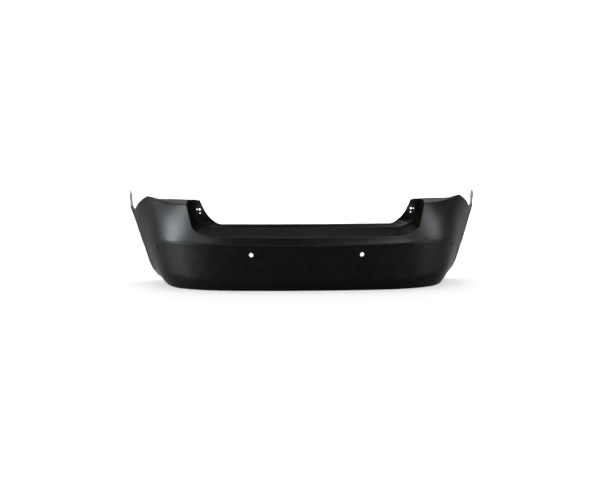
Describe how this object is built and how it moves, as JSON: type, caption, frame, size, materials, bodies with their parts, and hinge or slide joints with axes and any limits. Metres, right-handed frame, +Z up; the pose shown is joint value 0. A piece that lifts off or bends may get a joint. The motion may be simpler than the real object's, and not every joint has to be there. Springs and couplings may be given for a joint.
{
  "type": "rear bumper cover",
  "caption": "Satin black moulded rear bumper cover of a saloon car, with a boot recess, lamp shelves, wheel-arch flanges with upright tabs, parking sensor holes and push retainers.",
  "frame": {"origin": "on the ground plane of the part, under the middle of its bounding box: the lowest edge of the cover is at z = 0", "axes": "+X to the car's right side seen from behind, +Y towards the front of the car, +Z up"},
  "size_m": [1.866, 0.6314, 0.4705],
  "materials": {
    "primed_cover": "satin black primed polypropylene",
    "holder_plastic": "moulded, fine grain",
    "lamp_seat_plastic": "moulded, smooth",
    "stiffener_steel": "zinc plated",
    "rivet_aluminium": "plain",
    "spring_steel": "phosphated",
    "tab_nut_nylon": "moulded",
    "retainer_nylon": "moulded",
    "pin_nylon": "moulded"
  },
  "bodies": {
    "cover": {"arch_nut_1_left": "spring_steel", "arch_nut_1_right": "spring_steel", "arch_nut_2_left": "spring_steel", "arch_nut_2_right": "spring_steel", "arch_retainer_left_body": "retainer_nylon", "arch_retainer_right_body": "retainer_nylon", "cover_skin": "primed_cover", "lamp_seat_left": "lamp_seat_plastic", "lamp_seat_right": "lamp_seat_plastic", "retainer_1_left_body": "retainer_nylon", "retainer_1_right_body": "retainer_nylon", "retainer_2_left_body": "retainer_nylon", "retainer_2_right_body": "retainer_nylon", "sensor_holder_inner_left": "holder_plastic", "sensor_holder_inner_right": "holder_plastic", "sensor_holder_outer_left": "holder_plastic", "sensor_holder_outer_right": "holder_plastic", "sill_rivet_1": "rivet_aluminium", "sill_rivet_2": "rivet_aluminium", "sill_rivet_3": "rivet_aluminium", "sill_rivet_4": "rivet_aluminium", "sill_stiffener": "stiffener_steel", "tab_nut_left": "tab_nut_nylon", "tab_nut_right": "tab_nut_nylon"},
    "arch_retainer_left_pin": {"arch_retainer_left_pin": "pin_nylon"},
    "arch_retainer_right_pin": {"arch_retainer_right_pin": "pin_nylon"},
    "retainer_1_left_pin": {"retainer_1_left_pin": "pin_nylon"},
    "retainer_1_right_pin": {"retainer_1_right_pin": "pin_nylon"},
    "retainer_2_left_pin": {"retainer_2_left_pin": "pin_nylon"},
    "retainer_2_right_pin": {"retainer_2_right_pin": "pin_nylon"}
  },
  "joints": [
    {"name": "arch_retainer_left_pin_pull", "type": "slide", "parent": "cover", "child": "arch_retainer_left_pin", "axis": [-0.3611, 0.8718, -0.3309], "range_m": [0, 0.008]},
    {"name": "arch_retainer_right_pin_pull", "type": "slide", "parent": "cover", "child": "arch_retainer_right_pin", "axis": [0.3611, 0.8718, -0.3309], "range_m": [0, 0.008]},
    {"name": "retainer_1_left_pin_pull", "type": "slide", "parent": "cover", "child": "retainer_1_left_pin", "axis": [0, 0, -1], "range_m": [0, 0.008]},
    {"name": "retainer_1_right_pin_pull", "type": "slide", "parent": "cover", "child": "retainer_1_right_pin", "axis": [0, 0, -1], "range_m": [0, 0.008]},
    {"name": "retainer_2_left_pin_pull", "type": "slide", "parent": "cover", "child": "retainer_2_left_pin", "axis": [0, 0, -1], "range_m": [0, 0.008]},
    {"name": "retainer_2_right_pin_pull", "type": "slide", "parent": "cover", "child": "retainer_2_right_pin", "axis": [0, 0, -1], "range_m": [0, 0.008]}
  ]
}
